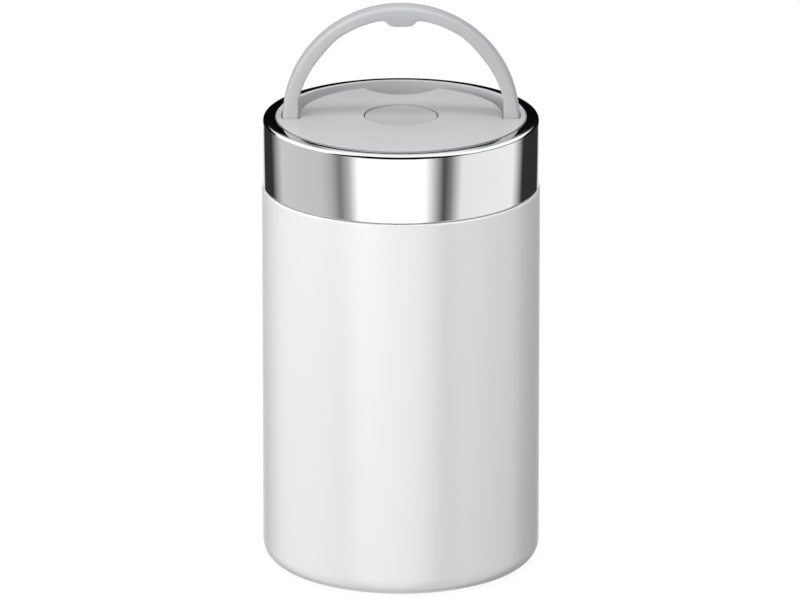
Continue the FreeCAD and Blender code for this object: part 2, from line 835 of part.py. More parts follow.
os.makedirs("parts", exist_ok=True)
for name, body in bodies.items():
    body.Shape.exportStep(f"parts/{name}.step")
    box = body.Shape.BoundBox
    print(name, round(body.Shape.Volume), [round(v, 2) for v in (box.XMax, box.YMax, box.ZMin, box.ZMax)])
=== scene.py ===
import math

import bmesh
import bpy
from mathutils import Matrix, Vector


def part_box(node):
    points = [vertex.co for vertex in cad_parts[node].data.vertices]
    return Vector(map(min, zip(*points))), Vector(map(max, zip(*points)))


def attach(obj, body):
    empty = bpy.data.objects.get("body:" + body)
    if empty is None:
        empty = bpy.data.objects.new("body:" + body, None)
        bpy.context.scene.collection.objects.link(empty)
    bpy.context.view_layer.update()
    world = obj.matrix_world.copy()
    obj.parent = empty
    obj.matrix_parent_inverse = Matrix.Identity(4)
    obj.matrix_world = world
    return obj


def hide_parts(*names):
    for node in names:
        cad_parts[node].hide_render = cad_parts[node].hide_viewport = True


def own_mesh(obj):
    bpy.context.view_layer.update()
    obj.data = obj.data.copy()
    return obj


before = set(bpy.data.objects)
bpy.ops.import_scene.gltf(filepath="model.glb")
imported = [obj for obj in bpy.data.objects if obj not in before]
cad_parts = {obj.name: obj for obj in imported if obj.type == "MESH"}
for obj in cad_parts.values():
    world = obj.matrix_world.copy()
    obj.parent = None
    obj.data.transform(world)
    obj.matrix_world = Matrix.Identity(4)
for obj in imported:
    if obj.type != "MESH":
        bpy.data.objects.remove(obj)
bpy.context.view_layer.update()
scene = bpy.context.scene
mm = 0.001
fullTurn = 2 * math.pi
upAxis = (0, 0, 1)
sharpAngle = math.radians(32)
weld = dict(spun=0.001 * mm, carved=0.002 * mm)


def low(node, axis):
    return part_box(node)[0]["xyz".index(axis)]


def high(node, axis):
    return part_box(node)[1]["xyz".index(axis)]


# Places read from the frame
bodyRadius = high("outer_shell", "x")
sheetSteel = low("base_plate", "z")
neckTop = high("outer_shell", "z")
rimTop = high("inner_liner", "z")
bandBottom = low("lid_band", "z")
bandTop = high("lid_band", "z")
lidTop = high("lid_cover", "z")
coverBottom = low("lid_cover", "z")
skirtOuter = high("lid_inner", "x")
flangeBottom = high("lid_inner", "z")
flangeTop = bandTop - sheetSteel
wiperBottom = low("stem_wiper", "z")


# Outlines and the pieces made from them
def newObject(name, bm):
    mesh = bpy.data.meshes.new(name)
    bm.to_mesh(mesh)
    bm.free()
    made = bpy.data.objects.new(name, mesh)
    scene.collection.objects.link(made)
    return made


def makePiece(name, bm, look, body, stands=()):
    bmesh.ops.recalc_face_normals(bm, faces=bm.faces)
    piece = newObject(name, bm)
    piece.data.shade_smooth()
    piece.data.set_sharp_from_angle(angle=sharpAngle)
    piece.data.materials.append(look)
    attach(piece, body)
    if stands:
        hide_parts(*stands)
    return piece


# Rounds an outline: a corner is (across, up), with its radius third where it has one
def roundOutline(corners, steps=6):
    points = []
    for index, corner in enumerate(corners):
        here = Vector(corner[:2])
        if len(corner) == 2:
            points.append(here)
            continue
        radius = corner[2]
        back = (Vector(corners[index - 1][:2]) - here).normalized()
        ahead = (Vector(corners[(index + 1) % len(corners)][:2]) - here).normalized()
        half = back.angle(ahead) / 2
        centre = here + (back + ahead).normalized() * radius / math.sin(half)
        first = here + back * radius / math.tan(half) - centre
        last = here + ahead * radius / math.tan(half) - centre
        sweep = first.angle_signed(last)
        for step in range(steps + 1):
            angle = -sweep * step / steps
            across = first.x * math.cos(angle) - first.y * math.sin(angle)
            up = first.x * math.sin(angle) + first.y * math.cos(angle)
            points.append(centre + Vector((across, up)))
    return points


# An outline that isn't closed starts and ends on the axis
def spinOutline(points, closed=True, steps=256):
    bm = bmesh.new()
    verts = [bm.verts.new((p[0], 0, p[1])) for p in points]
    pairs = list(zip(verts, verts[1:]))
    if closed:
        pairs.append((verts[-1], verts[0]))
    edges = [bm.edges.new(pair) for pair in pairs]
    bmesh.ops.spin(bm, geom=verts + edges, cent=(0, 0, 0), axis=upAxis, angle=fullTurn,
                   steps=steps, use_merge=True)
    bmesh.ops.remove_doubles(bm, verts=bm.verts, dist=weld["spun"])
    return bm


def turned(name, corners, look, body, stands, closed=True, steps=256):
    bm = spinOutline(roundOutline(corners), closed, steps)
    return makePiece(name, bm, look, body, stands)


# A flat outline drawn along one straight way
def prism(points, travel):
    bm = bmesh.new()
    face = bm.faces.new([bm.verts.new(point) for point in points])
    moved = bmesh.ops.extrude_face_region(bm, geom=[face])["geom"]
    verts = [item for item in moved if isinstance(item, bmesh.types.BMVert)]
    bmesh.ops.translate(bm, vec=travel, verts=verts)
    bmesh.ops.recalc_face_normals(bm, faces=bm.faces)
    return bm


# A ring section spun round the axis while it climbs, with both ends closed
def coil(bm, sweep, climb, steps):
    sides = len(bm.verts)
    bmesh.ops.spin(bm, geom=[*bm.verts, *bm.edges], cent=(0, 0, 0), axis=upAxis,
                   dvec=(0, 0, climb / steps), angle=sweep, steps=steps)
    bmesh.ops.holes_fill(bm, edges=bm.edges, sides=sides)


def arcPoints(radius, start, end, steps, centre=(0, 0)):
    angles = [start + (end - start) * step / steps for step in range(steps + 1)]
    return [(centre[0] + radius * math.cos(a), centre[1] + radius * math.sin(a)) for a in angles]


def circlePoints(radius, steps, centre=(0, 0)):
    return arcPoints(radius, 0, fullTurn, steps, centre)[:-1]


# Cuts the cutters out of a blank and returns what is left; the blank and the cutters go
def carve(blank, cutters):
    for cutter in cutters:
        step = blank.modifiers.new("carve", "BOOLEAN")
        step.operation = "DIFFERENCE"
        step.solver = "EXACT"
        step.object = cutter
    bpy.context.view_layer.update()
    shown = blank.evaluated_get(bpy.context.evaluated_depsgraph_get())
    result = bpy.data.meshes.new_from_object(shown)
    bm = bmesh.new()
    bm.from_mesh(result)
    bpy.data.meshes.remove(result)
    for extra in [blank, *cutters]:
        bpy.data.objects.remove(extra)
    return bm


def softenEdges(bm, width, segments, test):
    picked = [edge for edge in bm.edges if len(edge.link_faces) == 2 and test(edge)]
    bmesh.ops.bevel(bm, geom=picked, offset=width, segments=segments, profile=0.5,
                    affect="EDGES", clamp_overlap=True, material=-1)


# Nodes: an input is either a plain value or the socket that feeds it
def addNode(tree, kind, inputs=None, **settings):
    node = tree.nodes.new("ShaderNode" + kind)
    for name, value in settings.items():
        setattr(node, name, value)
    for socket, value in (inputs or {}).items():
        if isinstance(value, bpy.types.NodeSocket):
            tree.links.new(value, node.inputs[socket])
        else:
            node.inputs[socket].default_value = value
    return node


def mapRange(tree, source, start, end, result=(0, 1), kind="LINEAR"):
    inputs = {"Value": source, "From Min": start, "From Max": end,
              "To Min": result[0], "To Max": result[1]}
    return addNode(tree, "MapRange", inputs, interpolation_type=kind).outputs["Result"]


def rampOf(tree, source, stops, kind="LINEAR"):
    node = addNode(tree, "ValToRGB", {"Fac": source})
    node.color_ramp.interpolation = kind
    elements = node.color_ramp.elements
    while len(elements) < len(stops):
        elements.new(0.5)
    for element, (position, colour) in zip(elements, stops):
        element.position = position
        element.color = (*colour, 1)
    return node.outputs["Color"]


def objectNoise(tree, scale, detail=3, stretch=(1, 1, 1)):
    place = addNode(tree, "TexCoord").outputs["Object"]
    sized = addNode(tree, "Mapping", {"Vector": place, "Scale": stretch}).outputs["Vector"]
    inputs = {"Vector": sized, "Scale": scale, "Detail": detail}
    return addNode(tree, "TexNoise", inputs).outputs["Fac"]


noiseStart, noiseEnd = 0.3, 0.7  # nearly all of a noise's values lie between these


# A look's tint, sheen and relief each name their noise and what it changes
def makeLook(name, colour, roughness, tint, sheen=None, relief=None, metallic=0, more=None):
    look = bpy.data.materials.new(name)
    look.use_nodes = True
    tree = look.node_tree
    sockets = tree.nodes["Principled BSDF"].inputs
    sockets["Base Color"].default_value = (*colour, 1)
    sockets["Roughness"].default_value = roughness
    sockets["Metallic"].default_value = metallic
    for socket, value in (more or {}).items():
        sockets[socket].default_value = value
    stops = [(noiseStart, tint["dark"]), (noiseEnd, tint["light"])]
    tones = rampOf(tree, objectNoise(tree, **tint["noise"]), stops, "EASE")
    tree.links.new(tones, sockets["Base Color"])
    if sheen:
        gloss = mapRange(tree, objectNoise(tree, **sheen["noise"]), noiseStart, noiseEnd,
                         (sheen["least"], sheen["most"]), "SMOOTHSTEP")
        tree.links.new(gloss, sockets["Roughness"])
    if relief:
        inputs = {"Height": objectNoise(tree, **relief["noise"]),
                  "Distance": relief["depth"], "Strength": relief["strength"]}
        tree.links.new(addNode(tree, "Bump", inputs).outputs["Normal"], sockets["Normal"])
    return look


# Moulded plastic with a fine grain
def plastic(name, colour, roughness, tone=0.01, play=0.05):
    grain = dict(scale=2600, detail=2)
    return makeLook(
        name, colour, roughness,
        tint=dict(noise=dict(scale=45), dark=[value - tone for value in colour],
                  light=[value + tone for value in colour]),
        sheen=dict(noise=grain, least=roughness - play, most=roughness + play),
        relief=dict(noise=grain, depth=0.02 * mm, strength=0.35))


whiteLook = makeLook(
    "coated_white", (0.93, 0.93, 0.93), 0.3, metallic=0.14, more={"Specular IOR Level": 0.25},
    tint=dict(noise=dict(scale=9, detail=0), dark=(0.926, 0.926, 0.927),
              light=(0.934, 0.934, 0.933)),
    sheen=dict(noise=dict(scale=14, detail=0), least=0.265, most=0.295),
    relief=dict(noise=dict(scale=900, detail=2), depth=0.003 * mm, strength=0.1))
mirrorLook = makeLook(
    "polished_steel", (0.86, 0.86, 0.865), 0.05, metallic=1,
    tint=dict(noise=dict(scale=25), dark=(0.85, 0.85, 0.855), light=(0.87, 0.87, 0.872)),
    sheen=dict(noise=dict(scale=90, detail=4), least=0.03, most=0.07))
rings = dict(scale=300, detail=4, stretch=(0.02, 0.02, 6))
steelLook = makeLook(
    "brushed_steel", (0.62, 0.62, 0.62), 0.3, metallic=0.8,
    tint=dict(noise=rings, dark=(0.58, 0.58, 0.59), light=(0.68, 0.68, 0.68)),
    sheen=dict(noise=rings, least=0.22, most=0.38),
    relief=dict(noise=rings, depth=0.02 * mm, strength=0.3))
coverLook = plastic("cover_plastic", (0.56, 0.56, 0.57), 0.42)
handleLook = plastic("handle_plastic", (0.54, 0.54, 0.55), 0.36)
innerLook = plastic("inner_plastic", (0.40, 0.40, 0.41), 0.45)
siliconeLook = makeLook(
    "silicone", (0.78, 0.78, 0.77), 0.4,
    more={"Subsurface Weight": 0.25, "Subsurface Radius": (2 * mm, 2 * mm, 2 * mm)},
    tint=dict(noise=dict(scale=80), dark=(0.76, 0.76, 0.75), light=(0.81, 0.81, 0.80)),
    sheen=dict(noise=dict(scale=700), least=0.35, most=0.45))
cells = dict(scale=900, detail=6)
foamLook = makeLook(
    "foam", (0.85, 0.84, 0.79), 0.9,
    tint=dict(noise=cells, dark=(0.78, 0.77, 0.71), light=(0.90, 0.89, 0.85)),
    relief=dict(noise=cells, depth=0.2 * mm, strength=0.8))
creases = dict(scale=140, detail=5)
foilLook = makeLook(
    "foil", (0.80, 0.80, 0.81), 0.22, metallic=1,
    tint=dict(noise=creases, dark=(0.74, 0.74, 0.75), light=(0.84, 0.84, 0.85)),
    sheen=dict(noise=creases, least=0.16, most=0.32),
    relief=dict(noise=creases, depth=0.2 * mm, strength=0.6))
print("materials made")

# Painted shell with a rolled shoulder and foot
shell = dict(footBend=7.0 * mm, footInner=40.0 * mm, shoulderGap=0.3 * mm,
             shoulderBend=0.9 * mm, innerBend=0.3 * mm, neck=46.6 * mm)
shoulderZ = bandBottom - shell["shoulderGap"]
shellInner = bodyRadius - sheetSteel
neckInner = shell["neck"] - sheetSteel
turned("shell", [
    (shell["footInner"], 0),
    (bodyRadius, 0, shell["footBend"]),
    (bodyRadius, shoulderZ, shell["shoulderBend"]),
    (shell["neck"], shoulderZ),
    (shell["neck"], neckTop),
    (neckInner, neckTop),
    (neckInner, shoulderZ - sheetSteel),
    (shellInner, shoulderZ - sheetSteel, shell["innerBend"]),
    (shellInner, sheetSteel, shell["footBend"] - sheetSteel),
    (shell["footInner"], sheetSteel),
], whiteLook, "jar", ["outer_shell"])

# Mirror band of the lid, its top crowned a little
band = dict(outer=high("lid_band", "x") - 0.35 * mm, topBend=1.15 * mm, crown=0.3 * mm,
            inner=45.95 * mm, innerBend=0.12 * mm, underBend=0.55 * mm, hem=48.6 * mm,
            hemBend=0.45 * mm)
bandInside = band["outer"] - sheetSteel
turned("band", [
    (band["hem"], bandBottom),
    (band["outer"], bandBottom, band["hemBend"]),
    (band["outer"], bandTop - band["crown"], band["topBend"]),
    (band["inner"], bandTop, band["innerBend"]),
    (band["inner"], flangeTop),
    (bandInside, flangeTop - band["crown"], band["underBend"]),
    (bandInside, bandBottom + sheetSteel),
    (band["hem"], bandBottom + sheetSteel),
], mirrorLook, "lid", ["lid_band"])
print("shell and band made")

# Grey cover: lip, recess for the folded handle, finger scoop and button hole
cover = dict(lip=45.6 * mm, undercut=0.6 * mm, edge=0.3 * mm, recessOuter=43.8 * mm,
             recessInner=37.0 * mm, recessFront=4.7 * mm, scoop=15.3 * mm, scoopY=41.5 * mm,
             hole=13.75 * mm, floor=160.2 * mm, rim=0.45 * mm, rimSegments=3)
coverSteps = dict(outer=160, inner=70, scoop=60, hole=128)
cutPast = dict(above=5 * mm, below=1 * mm)
rimTest = dict(level=0.01 * mm, pastHole=1 * mm, pastRecess=0.05 * mm, angle=0.8)
lipFoot = cover["lip"] - cover["undercut"]
lipEdge = lidTop - cover["edge"]
blank = newObject("cover_blank", spinOutline(roundOutline([
    (0, coverBottom),
    (cover["lip"], coverBottom),
    (cover["lip"], flangeBottom),
    (skirtOuter, flangeBottom),
    (bandInside, flangeTop),
    (lipFoot, flangeTop),
    (lipFoot, lipEdge),
    (cover["lip"], lipEdge),
    (cover["lip"], lidTop, cover["edge"] / 2),
    (0, lidTop),
]), closed=False))

# The scoop's circle crosses the recess's inner edge at this corner and its mirror image
squares = cover["recessInner"] ** 2 - cover["scoop"] ** 2 + cover["scoopY"] ** 2
cornerY = squares / (2 * cover["scoopY"])
cornerX = math.sqrt(cover["recessInner"] ** 2 - cornerY ** 2)
cornerAngle = math.atan2(cornerY, cornerX)
scoopAngle = math.atan2(cornerY - cover["scoopY"], cornerX)
outerAngle = math.asin(-cover["recessFront"] / cover["recessOuter"])
innerAngle = math.asin(-cover["recessFront"] / cover["recessInner"])
recess = arcPoints(cover["recessOuter"], outerAngle, math.pi - outerAngle, coverSteps["outer"])
recess += arcPoints(cover["recessInner"], math.pi - innerAngle, math.pi - cornerAngle,
                    coverSteps["inner"])
recess += arcPoints(cover["scoop"], -math.pi - scoopAngle, scoopAngle, coverSteps["scoop"],
                    (0, cover["scoopY"]))[1:-1]
recess += arcPoints(cover["recessInner"], cornerAngle, innerAngle, coverSteps["inner"])


def upCutter(name, points, bottom):
    return newObject(name, prism([(x, y, bottom) for x, y in points],
                                 (0, 0, lidTop + cutPast["above"] - bottom)))


recessCut = upCutter("recess_cut", recess, cover["floor"])
holeCut = upCutter("hole_cut", circlePoints(cover["hole"], coverSteps["hole"]),
                   coverBottom - cutPast["below"])
bm = carve(blank, [recessCut, holeCut])
bmesh.ops.remove_doubles(bm, verts=bm.verts, dist=weld["carved"])


# The sharp edges round the recess at the top, without the hole's edge and the lip
def isTopRim(edge):
    flat = all(abs(v.co.z - lidTop) < rimTest["level"] for v in edge.verts)
    reach = [v.co.xy.length for v in edge.verts]
    pastHole = min(reach) > cover["hole"] + rimTest["pastHole"]
    inRecess = max(reach) < cover["recessOuter"] + rimTest["pastRecess"]
    return flat and pastHole and inRecess and edge.calc_face_angle(0) > rimTest["angle"]


softenEdges(bm, cover["rim"], cover["rimSegments"], isTopRim)
makePiece("cover", bm, coverLook, "lid", ["lid_cover"])
print("cover made")

# Carry handle: an arch whose inner edge runs through these radii at these places across, in mm
grip = [(38.3, 37.5), (38.3, 30.0), (39.1, 22.0), (39.1, 8.4), (38.9, 6.6), (36.5, 3.4),
        (36.2, 1.8)]
handle = dict(footInner=37.5 * mm, outerRound=1.5 * mm, outerSegments=5, innerRound=0.7 * mm,
              innerSegments=3, heelRise=2.0 * mm, boreGap=0.05 * mm, footZ=low("handle", "z"),
              depth=high("handle", "y") - low("handle", "y"), reach=high("handle", "x"))
handleSteps = dict(arch=120, perMm=1.5, heel=10, bore=32)
handleTest = dict(level=0.001 * mm, outer=0.1 * mm, inner=2 * mm)
archZ = high("handle", "z") - handle["reach"]
pivotZ = (low("handle_pin_left", "z") + high("handle_pin_left", "z")) / 2
pivotY = (low("handle_pin_left", "y") + high("handle_pin_left", "y")) / 2
pinRadius = (high("handle_pin_left", "z") - low("handle_pin_left", "z")) / 2


def onArch(radius, across):
    return math.sqrt((radius * mm) ** 2 - (across * mm) ** 2) + archZ


# From the foot to the middle of the inner edge, each change of radius eased in and out
def gripSide():
    points = []
    for (radiusA, acrossA), (radiusB, acrossB) in zip(grip, grip[1:]):
        steps = round((acrossA - acrossB) * handleSteps["perMm"])
        for step in range(steps):
            share = step / steps
            across = acrossA + (acrossB - acrossA) * share
            ease = share * share * (3 - 2 * share)
            points.append((across * mm, onArch(radiusA + (radiusB - radiusA) * ease, across)))
    points.append((grip[-1][1] * mm, onArch(grip[-1][0], grip[-1][1])))
    return points


side = gripSide()
outline = [(handle["reach"], handle["footZ"])]
outline += [(x, z + archZ) for x, z in arcPoints(handle["reach"], 0, math.pi, handleSteps["arch"])]
outline += [(-handle["reach"], handle["footZ"]), (-handle["footInner"], handle["footZ"])]
outline += [(-x, z) for x, z in side] + [(0, archZ + grip[-1][0] * mm)]
outline += [(x, z) for x, z in reversed(side)] + [(handle["footInner"], handle["footZ"])]
bm = prism([(x, -handle["depth"] / 2, z) for x, z in outline], (0, handle["depth"], 0))


def archReach(vert):
    return math.hypot(vert.co.x, max(vert.co.z - archZ, 0))


def alongFace(edge):
    return abs(edge.verts[0].co.y - edge.verts[1].co.y) < handleTest["level"]


def isOuterRim(edge):
    least = handle["reach"] - handleTest["outer"]
    return alongFace(edge) and all(archReach(v) > least for v in edge.verts)


def isInnerRim(edge):
    most = handle["reach"] - handleTest["inner"]
    return alongFace(edge) and all(archReach(v) < most for v in edge.verts)


softenEdges(bm, handle["outerRound"], handle["outerSegments"], isOuterRim)
softenEdges(bm, handle["innerRound"], handle["innerSegments"], isInnerRim)
arch = newObject("handle_blank", bm)

# The feet are round in front of the pivot and cut short behind it, so that they can turn
drop = pivotZ - handle["footZ"]
heelFront = pivotY - 2 * drop
heelBack = handle["depth"] / 2
heelTop = handle["footZ"] + handle["heelRise"]
heelLow = handle["footZ"] - drop
heelArc = arcPoints(drop, math.pi, 1.5 * math.pi, handleSteps["heel"], (pivotY, pivotZ))
heel = [(heelFront, pivotZ)] + heelArc
heel += [(heelBack, heelTop), (heelBack + drop, heelTop), (heelBack + drop, heelLow),
         (heelFront, heelLow)]
bore = circlePoints(pinRadius + handle["boreGap"], handleSteps["bore"], (pivotY, pivotZ))


def acrossCutter(name, points):
    return newObject(name, prism([(-bodyRadius, y, z) for y, z in points], (2 * bodyRadius, 0, 0)))


bm = carve(arch, [acrossCutter("heel_cut", heel), acrossCutter("bore_cut", bore)])
makePiece("carry_handle", bm, handleLook, "handle", ["handle"])
print("handle made")

# Vent button with its dish, socket and skirt
button = dict(radius=13.25 * mm, edge=0.35 * mm, top=high("vent_button", "z"),
              bottom=low("vent_button", "z"), dish=0.5 * mm, wall=1.4 * mm, plate=1.8 * mm,
              socket=2.65 * mm, boss=4.0 * mm, skirt=5 * mm)
plateZ = button["top"] - button["plate"]
buttonInner = button["radius"] - button["wall"]
skirtZ = button["top"] - button["skirt"]
dishShares = (0.9, 0.75, 0.6, 0.45, 0.3, 0.15, 0.0)
turned("press_button", [
    (0, plateZ),
    (button["socket"], plateZ),
    (button["socket"], button["bottom"]),
    (button["boss"], button["bottom"]),
    (button["boss"], plateZ),
    (buttonInner, plateZ),
    (buttonInner, skirtZ),
    (button["radius"], skirtZ),
    (button["radius"], button["top"], button["edge"]),
    *[(button["radius"] * share, button["top"] - button["dish"] * (1 - share * share))
      for share in dishShares],
], handleLook, "button", ["vent_button"], closed=False, steps=128)

# Stem and valve seal under the plug
stem = dict(radius=2.6 * mm, foot=5.0 * mm, footBend=0.4 * mm, bottom=low("valve_stem", "z"),
            top=high("valve_stem", "z"))
valve = dict(radius=high("valve_seal", "x"), edge=0.5 * mm, hole=2.65 * mm,
             bottom=low("valve_seal", "z"), top=high("valve_seal", "z"))
turned("stem", [
    (0, stem["bottom"]),
    (stem["foot"], stem["bottom"], stem["footBend"]),
    (stem["foot"], valve["bottom"]),
    (stem["radius"], valve["bottom"]),
    (stem["radius"], stem["top"]),
    (0, stem["top"]),
], innerLook, "button", ["valve_stem"], closed=False, steps=64)
turned("valve_disc", [
    (valve["hole"], valve["bottom"]),
    (valve["radius"], valve["bottom"], valve["edge"]),
    (valve["radius"], valve["top"]),
    (valve["hole"], valve["top"]),
], siliconeLook, "button", ["valve_seal"], steps=96)
print("button made")

# Liner, base plate, cover disc and mouth seal
liner = dict(outer=47.2 * mm, bottom=low("inner_liner", "z"), bend=10.0 * mm, mouth=44.4 * mm,
             neckStart=138.6 * mm, neckEnd=142.2 * mm, neckBend=3 * mm, rimOuter=0.25 * mm,
             rimInner=0.5 * mm)
linerInner = liner["outer"] - sheetSteel
linerFloor = liner["bottom"] + sheetSteel
mouthOuter = liner["mouth"] + sheetSteel
turned("liner", [
    (0, liner["bottom"]),
    (liner["outer"], liner["bottom"], liner["bend"]),
    (liner["outer"], liner["neckStart"], liner["neckBend"]),
    (mouthOuter, liner["neckEnd"], liner["neckBend"]),
    (mouthOuter, neckTop),
    (shell["neck"], neckTop),
    (shell["neck"], rimTop, liner["rimOuter"]),
    (liner["mouth"], rimTop, liner["rimInner"]),
    (liner["mouth"], liner["neckEnd"], liner["neckBend"]),
    (linerInner, liner["neckStart"], liner["neckBend"]),
    (linerInner, linerFloor, liner["bend"] - sheetSteel),
    (0, linerFloor),
], steelLook, "jar", ["inner_liner"], closed=False)

plate = dict(radius=43.4 * mm, wall=39.6 * mm, top=high("base_plate", "z"), hole=1.0 * mm)
plateUnder = plate["top"] - sheetSteel
plateInner = plate["wall"] - sheetSteel
turned("base", [
    (plate["hole"], plateUnder),
    (plateInner, plateUnder, sheetSteel),
    (plateInner, sheetSteel),
    (plate["radius"], sheetSteel),
    (plate["radius"], 2 * sheetSteel),
    (plate["wall"], 2 * sheetSteel),
    (plate["wall"], plate["top"], 2 * sheetSteel),
    (plate["hole"], plate["top"]),
], steelLook, "jar", ["base_plate"])

disc = dict(radius=37.3 * mm, bottom=low("base_cover", "z"), top=high("base_cover", "z"))
discInner = disc["radius"] - sheetSteel
discFloor = disc["bottom"] + sheetSteel
turned("base_disc", [
    (0, disc["bottom"]),
    (disc["radius"], disc["bottom"], sheetSteel),
    (disc["radius"], disc["top"]),
    (discInner, disc["top"]),
    (discInner, discFloor),
    (0, discFloor),
], steelLook, "jar", ["base_cover"], closed=False)

seal = dict(inner=41.5 * mm, web=42.7 * mm, reach=44.1 * mm, outer=46.6 * mm, edge=0.3 * mm,
            lipEdge=0.2 * mm, bottom=low("seal_ring", "z"), top=high("seal_ring", "z"))
sealDepth = rimTop - seal["bottom"]
turned("mouth_seal", [
    (seal["inner"], seal["bottom"], seal["edge"]),
    (seal["web"], seal["bottom"], seal["edge"]),
    (seal["reach"], seal["bottom"] + sealDepth / 3, seal["lipEdge"]),
    (seal["web"], seal["bottom"] + sealDepth / 2, seal["lipEdge"]),
    (seal["web"], rimTop, seal["edge"]),
    (seal["outer"], rimTop, seal["edge"]),
    (seal["outer"], seal["top"], seal["edge"]),
    (seal["inner"], seal["top"], seal["edge"]),
], siliconeLook, "seal", ["seal_ring"])
print("liner, base and seal made")

# Inner part of the lid: skirt, deck, plug and stem guide
inner = dict(skirt=47.8 * mm, plug=41.2 * mm, wall=1.6 * mm, bottom=low("lid_inner", "z"),
             plugBottom=147.0 * mm, plugBend=1.5 * mm, deckBend=0.8 * mm, edge=0.3 * mm,
             floorBend=0.7 * mm, guide=5.2 * mm, guideTop=4.6 * mm, guideHeight=4.4 * mm,
             bore=2.65 * mm, wiperSeat=3.6 * mm)
plugInner = inner["plug"] - inner["wall"]
plugFloor = inner["plugBottom"] + inner["wall"]
guideZ = plugFloor + inner["guideHeight"]
turned("plug_and_skirt", [
    (inner["bore"], inner["plugBottom"]),
    (inner["plug"], inner["plugBottom"], inner["plugBend"]),
    (inner["plug"], seal["top"]),
    (inner["skirt"], seal["top"], inner["deckBend"]),
    (inner["skirt"], inner["bottom"], inner["edge"]),
    (skirtOuter, inner["bottom"], inner["edge"]),
    (skirtOuter, flangeBottom),
    (inner["skirt"], flangeBottom),
    (inner["skirt"], coverBottom),
    (plugInner, coverBottom),
    (plugInner, plugFloor, inner["floorBend"]),
    (inner["guide"], plugFloor),
    (inner["guideTop"], guideZ),
    (inner["wiperSeat"], guideZ),
    (inner["wiperSeat"], wiperBottom),
    (inner["bore"], wiperBottom),
], innerLook, "lid", ["lid_inner"])

# Screw ridges, side 1 on the outside of a wall and -1 on its inside
thread = dict(starts=3, lead=12 * mm, sunk=0.1 * mm, stand=0.8 * mm, halfRoot=1.3 * mm,
              halfCrest=0.5 * mm, stepsPerTurn=160, fadeRate=9, leastStand=0.02, leastWidth=0.35)
neckThread = dict(wall=shell["neck"], side=1, startZ=shoulderZ + 2.0 * mm, turns=0.5, lag=0)
skirtThread = dict(wall=inner["skirt"], side=-1, startZ=shoulderZ + 3.6 * mm, turns=0.3, lag=0.9)


# The section climbs one lead a turn, and both ends of the ridge fade into the wall
def ridge(name, place, startAngle, look, body):
    root = place["wall"] - place["side"] * thread["sunk"]
    crest = place["wall"] + place["side"] * thread["stand"]
    startAngle += place["lag"]
    sweep = fullTurn * place["turns"]
    climb = thread["lead"] * place["turns"]
    steps = round(place["turns"] * thread["stepsPerTurn"])
    section = ((root, -thread["halfRoot"]), (crest, -thread["halfCrest"]),
               (crest, thread["halfCrest"]), (root, thread["halfRoot"]))
    bm = bmesh.new()
    verts = []
    for radius, rise in section:
        spot = (radius * math.cos(startAngle), radius * math.sin(startAngle))
        verts.append(bm.verts.new((*spot, place["startZ"] + rise)))
    for pair in zip(verts, verts[1:] + verts[:1]):
        bm.edges.new(pair)
    coil(bm, sweep, climb, steps)
    halfStep = sweep / steps / 2
    for vert in bm.verts:
        angle = math.atan2(vert.co.y, vert.co.x) - startAngle + halfStep
        share = (angle % fullTurn - halfStep) / sweep
        fade = min(1, share * thread["fadeRate"], (1 - share) * thread["fadeRate"])
        radius = vert.co.xy.length
        shown = root + (radius - root) * max(fade, thread["leastStand"])
        middle = place["startZ"] + climb * share
        width = thread["leastWidth"] + (1 - thread["leastWidth"]) * fade
        vert.co.xy = vert.co.xy * shown / radius
        vert.co.z = middle + (vert.co.z - middle) * width
    return makePiece(name, bm, look, body)


for start in range(thread["starts"]):
    angle = fullTurn * start / thread["starts"]
    ridge(f"neck_thread_{start}", neckThread, angle, whiteLook, "jar")
    ridge(f"skirt_thread_{start}", skirtThread, angle, innerLook, "lid")
print("inner lid and threads made")

# Button spring: a wire drawn round and up
spring = dict(radius=6.0 * mm, wire=0.35 * mm, wireSides=10, turns=6, stepsPerTurn=32,
              travel=3 * mm)
springLength = plateZ - plugFloor
bm = bmesh.new()
bmesh.ops.create_circle(bm, segments=spring["wireSides"], radius=spring["wire"], cap_ends=False)
for vert in bm.verts:
    vert.co = Vector((spring["radius"] + vert.co.x, 0, plugFloor + spring["wire"] + vert.co.y))
coil(bm, fullTurn * spring["turns"], springLength - 2 * spring["wire"],
     spring["turns"] * spring["stepsPerTurn"])
springPiece = makePiece("coil_spring", bm, steelLook, "button", ["button_spring"])
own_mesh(springPiece)

# CAD nodes whose shape is right keep it and get a look
keptLooks = dict(handle_pin_left=steelLook, handle_pin_right=steelLook, getter=steelLook,
                 sealing_bead=steelLook, lid_insulation=foamLook, heat_foil=foilLook,
                 stem_wiper=siliconeLook)
for nodeName, look in keptLooks.items():
    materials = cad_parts[nodeName].data.materials
    materials.clear()
    materials.append(look)
print("spring and small pieces made")

# Floor: it glows to the camera and takes the shadow, and the object doesn't mirror it
floor = dict(size=8.0, glow=1.05, glowShare=0.85)
floorLook = makeLook(
    "floor_paper", (0.93, 0.93, 0.93), 0.9,
    tint=dict(noise=dict(scale=3), dark=(0.925, 0.925, 0.925), light=(0.94, 0.94, 0.94)))
floorTree = floorLook.node_tree
cameraRay = addNode(floorTree, "LightPath").outputs["Is Camera Ray"]
glowShare = addNode(floorTree, "Math", {0: cameraRay, 1: floor["glowShare"]}, operation="MULTIPLY")
glow = addNode(floorTree, "Emission", {"Strength": floor["glow"]})
paper = floorTree.nodes["Principled BSDF"]
floorMix = addNode(floorTree, "MixShader",
                   {"Fac": glowShare.outputs[0], 1: paper.outputs[0], 2: glow.outputs[0]})
floorTree.links.new(floorMix.outputs[0], floorTree.nodes["Material Output"].inputs["Surface"])
bm = bmesh.new()
bmesh.ops.create_grid(bm, x_segments=1, y_segments=1, size=floor["size"])
floorSheet = newObject("floor", bm)
